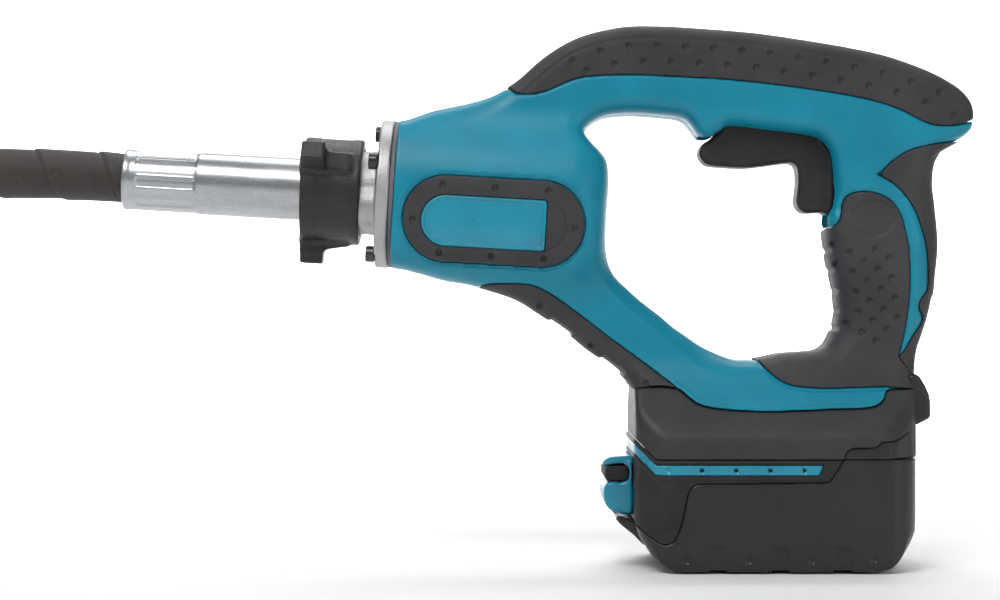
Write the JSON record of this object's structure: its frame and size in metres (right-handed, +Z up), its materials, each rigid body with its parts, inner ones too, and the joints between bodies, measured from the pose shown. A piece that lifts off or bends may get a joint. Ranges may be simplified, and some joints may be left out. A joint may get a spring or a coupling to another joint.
{
  "type": "cordless concrete vibrator",
  "caption": "Battery-powered concrete vibrator with a D-shaped handle, a motor barrel, a quick-release flexible hose and a round vibrating head.",
  "frame": {"origin": "middle of the drive unit's box, on the battery's underside", "axes": "+X from the hose end towards the rear grip, +Y to the operator's right when the hose points away, +Z up"},
  "size_m": [0.7106, 0.2775, 0.2279],
  "materials": {
    "teal_housing": "fine moulded satin",
    "grip_rubber": "soft-touch overmould",
    "teal_trim": "semi-gloss",
    "black_plastic": "fine texture",
    "inner_plastic": "plain",
    "cast_aluminium": "fine sand cast",
    "zinc_steel": "zinc plated",
    "black_steel": "black oxide",
    "bright_steel": "machined",
    "magnet_ferrite": "sintered",
    "copper": "enamelled",
    "cell_wrap": "shrink sleeve",
    "hose_rubber": "cloth-wrapped"
  },
  "bodies": {
    "drive_unit": {"housing_left": "teal_housing", "housing_right": "teal_housing", "top_grip_rubber": "grip_rubber", "strut_rubber": "grip_rubber", "rear_grip_rubber": "grip_rubber", "side_grip_rubber_left": "grip_rubber", "side_grip_rubber_right": "grip_rubber", "badge_ring_left": "grip_rubber", "badge_ring_right": "grip_rubber", "badge_plate_left": "teal_trim", "badge_plate_right": "teal_trim", "housing_screws": "black_steel", "front_flange": "cast_aluminium", "flange_gasket": "grip_rubber", "flange_screws": "black_steel", "locating_pins": "zinc_steel", "ferrule": "zinc_steel", "seal_ring": "grip_rubber", "motor_can": "bright_steel", "motor_magnets": "magnet_ferrite", "motor_end_bell": "inner_plastic", "carbon_brushes": "magnet_ferrite", "front_bearing": "bright_steel", "rear_bearing": "bright_steel", "trigger_pin": "bright_steel", "switch_body": "inner_plastic", "base_housing": "black_plastic", "rear_bumper": "black_plastic", "terminal_block": "inner_plastic", "hose": "hose_rubber", "head_ferrule": "bright_steel", "head_tube": "bright_steel", "head_tip": "bright_steel", "head_bearings": "bright_steel"},
    "trigger": {"trigger_lever": "black_plastic", "trigger_spring": "bright_steel"},
    "switch_plunger": {"switch_plunger": "inner_plastic"},
    "collar": {"coupling_collar": "black_plastic"},
    "rotor": {"rotor_core": "bright_steel", "rotor_windings": "copper", "commutator": "copper", "motor_shaft": "bright_steel", "fan": "inner_plastic", "drive_coupler": "bright_steel", "flex_shaft_end": "bright_steel"},
    "battery": {"battery_lower_case": "black_plastic", "battery_top_cover": "black_plastic", "battery_stripe": "teal_trim", "battery_screws": "black_steel", "battery_cells": "cell_wrap", "cell_holders": "inner_plastic", "battery_terminals": "copper"},
    "battery_latch": {"latch_button": "teal_trim", "latch_grip": "black_plastic", "latch_spring": "bright_steel"},
    "weight": {"eccentric_weight": "bright_steel"}
  },
  "joints": [
    {"name": "trigger_pivot", "type": "hinge", "parent": "drive_unit", "child": "trigger", "pos_m": [0.0688, 0, 0.1828], "axis": [0, -1, 0], "range_deg": [0, 5.5], "stiffness_Nm_per_rad": 1.2, "springref_deg": -6.88, "deforming": ["trigger_spring"]},
    {"name": "plunger_slide", "type": "slide", "parent": "drive_unit", "child": "switch_plunger", "axis": [0, 0, 1], "range_m": [0, 0.003]},
    {"name": "collar_turn", "type": "hinge", "parent": "drive_unit", "child": "collar", "pos_m": [-0.0647, 0, 0.1558], "axis": [0.9984, 0, -0.0569], "range_deg": [0, 55]},
    {"name": "rotor_spin", "type": "hinge", "parent": "drive_unit", "child": "rotor", "pos_m": [-0.0647, 0, 0.1558], "axis": [0.9984, 0, -0.0569], "continuous": true},
    {"name": "weight_spin", "type": "hinge", "parent": "drive_unit", "child": "weight", "pos_m": [-0.39, -0.226, 0.013], "axis": [1, 0, 0], "continuous": true},
    {"name": "battery_slide", "type": "slide", "parent": "drive_unit", "child": "battery", "axis": [-1, 0, 0], "range_m": [0, 0.11]},
    {"name": "latch_press", "type": "slide", "parent": "battery", "child": "battery_latch", "axis": [0, 0, -1], "range_m": [0, 0.003], "stiffness_N_per_m": 900, "springref_m": -0.004, "deforming": ["latch_spring"]}
  ],
  "couplings": [
    {"joint": "plunger_slide", "follows": "trigger_pivot", "m_per_rad": 0.03},
    {"joint": "weight_spin", "follows": "rotor_spin", "ratio": 1}
  ]
}
